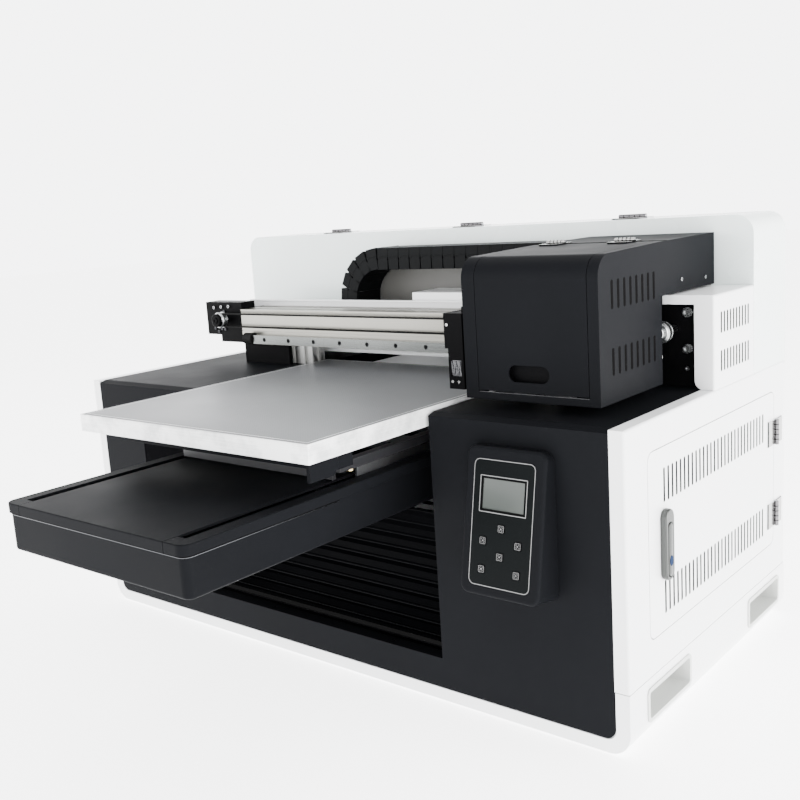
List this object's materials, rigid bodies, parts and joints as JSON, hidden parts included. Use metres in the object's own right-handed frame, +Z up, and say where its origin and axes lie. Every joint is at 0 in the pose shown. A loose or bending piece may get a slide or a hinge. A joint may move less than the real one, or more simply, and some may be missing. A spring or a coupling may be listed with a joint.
{
  "type": "flatbed uv printer",
  "caption": "Flatbed UV printer: boxed base with a flat table on a sliding tray, print carriage on a gantry rail, hinged covers, side door and sloped control panel.",
  "frame": {"origin": "on the floor, under the middle of the boxed base (the sliding tray stands out in front of it)", "axes": "+Z up, the machine's front faces -Y, +X is to the right seen from the front"},
  "size_m": [1.0113, 0.879, 0.6203],
  "materials": {
    "bottom_skirt": "gloss",
    "carry_grips": "satin",
    "rubber_feet": "matte",
    "side_panel_left": "gloss",
    "side_panel_right": "gloss",
    "front_panel": "satin powder coat",
    "deck_panels": "satin powder coat",
    "floor_bellows": "coated cloth",
    "inner_frame": "satin",
    "rear_cover": "gloss",
    "rear_lid": "gloss",
    "rear_panel": "gloss",
    "power_inlet": "satin",
    "power_switch": "gloss",
    "cabinet_hinges": "polished",
    "side_door": "gloss",
    "door_handle": "satin",
    "door_lever": "satin",
    "control_housing": "satin powder coat",
    "lcd_screen": "gloss",
    "bed_tub": "satin powder coat",
    "bed_rims": "satin powder coat",
    "bed_centre_plate": "satin powder coat",
    "linear_rails": "ground",
    "y_screw": "rolled thread",
    "stepper_motors": "satin",
    "bed_carriage": "machined",
    "lift_bars": "anodised",
    "lift_screw": "rolled thread",
    "platen_frame": "satin powder coat",
    "platen": "hard anodised",
    "gantry_beam": "anodised",
    "rail_bumpers": "matte",
    "gantry_uprights": "anodised",
    "gantry_legs": "satin",
    "gantry_end_plates": "satin",
    "idler_pulley": "turned",
    "drive_pulley": "turned",
    "gantry_bolts": "zinc plated",
    "drive_belt": "matte",
    "end_cover": "gloss",
    "head_cover": "satin powder coat",
    "head_lid": "satin powder coat",
    "lid_hinges": "polished",
    "carriage_plate": "machined",
    "carriage_bearing_blocks": "ground",
    "print_heads": "satin",
    "uv_lamp": "satin",
    "chain_tray": "gloss",
    "chain_upper": "satin",
    "chain_lower": "satin",
    "chain_bend": "satin",
    "power_supply": "satin",
    "ink_bottles": "satin",
    "button_up": "satin",
    "button_left": "satin",
    "button_right": "satin",
    "button_down": "satin",
    "button_stop": "satin",
    "button_start": "satin"
  },
  "bodies": {
    "chassis": {"bottom_skirt": "bottom_skirt", "carry_grips": "carry_grips", "rubber_feet": "rubber_feet", "side_panel_left": "side_panel_left", "side_panel_right": "side_panel_right", "front_panel": "front_panel", "deck_panels": "deck_panels", "floor_bellows": "floor_bellows", "inner_frame": "inner_frame", "rear_cover": "rear_cover", "rear_panel": "rear_panel", "power_inlet": "power_inlet", "cabinet_hinges": "cabinet_hinges", "control_housing": "control_housing", "lcd_screen": "lcd_screen", "bed_tub": "bed_tub", "bed_rims": "bed_rims", "bed_centre_plate": "bed_centre_plate", "linear_rails": "linear_rails", "stepper_motors": "stepper_motors", "gantry_beam": "gantry_beam", "rail_bumpers": "rail_bumpers", "gantry_uprights": "gantry_uprights", "gantry_legs": "gantry_legs", "gantry_end_plates": "gantry_end_plates", "gantry_bolts": "gantry_bolts", "drive_belt": "drive_belt", "end_cover": "end_cover", "chain_tray": "chain_tray", "chain_lower": "chain_lower", "power_supply": "power_supply", "ink_bottles": "ink_bottles"},
    "bed": {"bed_carriage": "bed_carriage", "lift_bars": "lift_bars"},
    "bed_screw": {"y_screw": "y_screw"},
    "table": {"platen": "platen", "platen_frame": "platen_frame"},
    "table_screw": {"lift_screw": "lift_screw"},
    "print_carriage": {"head_cover": "head_cover", "lid_hinges": "lid_hinges", "carriage_plate": "carriage_plate", "carriage_bearing_blocks": "carriage_bearing_blocks", "print_heads": "print_heads", "uv_lamp": "uv_lamp", "chain_upper": "chain_upper"},
    "print_lid": {"head_lid": "head_lid"},
    "chain_loop": {"chain_bend": "chain_bend"},
    "idler": {"idler_pulley": "idler_pulley"},
    "drive": {"drive_pulley": "drive_pulley"},
    "rear_hatch": {"rear_lid": "rear_lid"},
    "door": {"side_door": "side_door", "door_handle": "door_handle"},
    "lever": {"door_lever": "door_lever"},
    "rocker": {"power_switch": "power_switch"},
    "key_up": {"button_up": "button_up"},
    "key_left": {"button_left": "button_left"},
    "key_right": {"button_right": "button_right"},
    "key_down": {"button_down": "button_down"},
    "key_stop": {"button_stop": "button_stop"},
    "key_start": {"button_start": "button_start"}
  },
  "joints": [
    {"name": "bed_slide", "type": "slide", "parent": "chassis", "child": "bed", "axis": [0, 1, 0], "range_m": [-0.15, 0.205]},
    {"name": "bed_screw_turn", "type": "hinge", "parent": "chassis", "child": "bed_screw", "pos_m": [0.004, -0.2175, 0.277], "axis": [0, 1, 0], "continuous": true},
    {"name": "table_lift", "type": "slide", "parent": "bed", "child": "table", "axis": [0, 0, 1], "range_m": [-0.02, 0.005]},
    {"name": "table_screw_turn", "type": "hinge", "parent": "bed", "child": "table_screw", "pos_m": [0.004, -0.2195, 0.35], "axis": [0, 0, 1], "continuous": true},
    {"name": "carriage_slide", "type": "slide", "parent": "chassis", "child": "print_carriage", "axis": [1, 0, 0], "range_m": [-0.56, 0], "deforming": ["chain_upper"]},
    {"name": "idler_turn", "type": "hinge", "parent": "chassis", "child": "idler", "pos_m": [-0.422, -0.0275, 0.472], "axis": [0, 1, 0], "continuous": true},
    {"name": "drive_turn", "type": "hinge", "parent": "chassis", "child": "drive", "pos_m": [0.438, -0.0075, 0.472], "axis": [0, 1, 0], "continuous": true},
    {"name": "chain_loop_slide", "type": "slide", "parent": "chassis", "child": "chain_loop", "axis": [1, 0, 0], "range_m": [-0.28, 0]},
    {"name": "print_lid_hinge", "type": "hinge", "parent": "print_carriage", "child": "print_lid", "pos_m": [0.355, -0.035, 0.5926], "axis": [-1, 0, 0], "range_deg": [0, 100]},
    {"name": "rear_lid_hinge", "type": "hinge", "parent": "chassis", "child": "rear_hatch", "pos_m": [0, 0.1825, 0.6171], "axis": [1, 0, 0], "range_deg": [0, 100]},
    {"name": "side_door_hinge", "type": "hinge", "parent": "chassis", "child": "door", "pos_m": [0.5036, 0.2145, 0.2415], "axis": [0, 0, 1], "range_deg": [0, 110]},
    {"name": "door_lever_hinge", "type": "hinge", "parent": "door", "child": "lever", "pos_m": [0.5063, -0.1595, 0.261], "axis": [0, -1, 0], "range_deg": [0, 45]},
    {"name": "power_switch_rock", "type": "hinge", "parent": "chassis", "child": "rocker", "pos_m": [-0.4, 0.2565, 0.13], "axis": [1, 0, 0], "range_deg": [-7, 7]},
    {"name": "button_up_press", "type": "slide", "parent": "chassis", "child": "key_up", "axis": [0, 0.9832, -0.1823], "range_m": [0, 0.0006], "stiffness_N_per_m": 300},
    {"name": "button_left_press", "type": "slide", "parent": "chassis", "child": "key_left", "axis": [0, 0.9832, -0.1823], "range_m": [0, 0.0006], "stiffness_N_per_m": 300},
    {"name": "button_right_press", "type": "slide", "parent": "chassis", "child": "key_right", "axis": [0, 0.9832, -0.1823], "range_m": [0, 0.0006], "stiffness_N_per_m": 300},
    {"name": "button_down_press", "type": "slide", "parent": "chassis", "child": "key_down", "axis": [0, 0.9832, -0.1823], "range_m": [0, 0.0006], "stiffness_N_per_m": 300},
    {"name": "button_stop_press", "type": "slide", "parent": "chassis", "child": "key_stop", "axis": [0, 0.9832, -0.1823], "range_m": [0, 0.0006], "stiffness_N_per_m": 300},
    {"name": "button_start_press", "type": "slide", "parent": "chassis", "child": "key_start", "axis": [0, 0.9832, -0.1823], "range_m": [0, 0.0006], "stiffness_N_per_m": 300}
  ],
  "couplings": [
    {"joint": "bed_screw_turn", "follows": "bed_slide", "rad_per_m": 314.16},
    {"joint": "table_screw_turn", "follows": "table_lift", "rad_per_m": 628.32},
    {"joint": "idler_turn", "follows": "carriage_slide", "rad_per_m": -86.957},
    {"joint": "drive_turn", "follows": "carriage_slide", "rad_per_m": -86.957},
    {"joint": "chain_loop_slide", "follows": "carriage_slide", "ratio": 0.5}
  ]
}
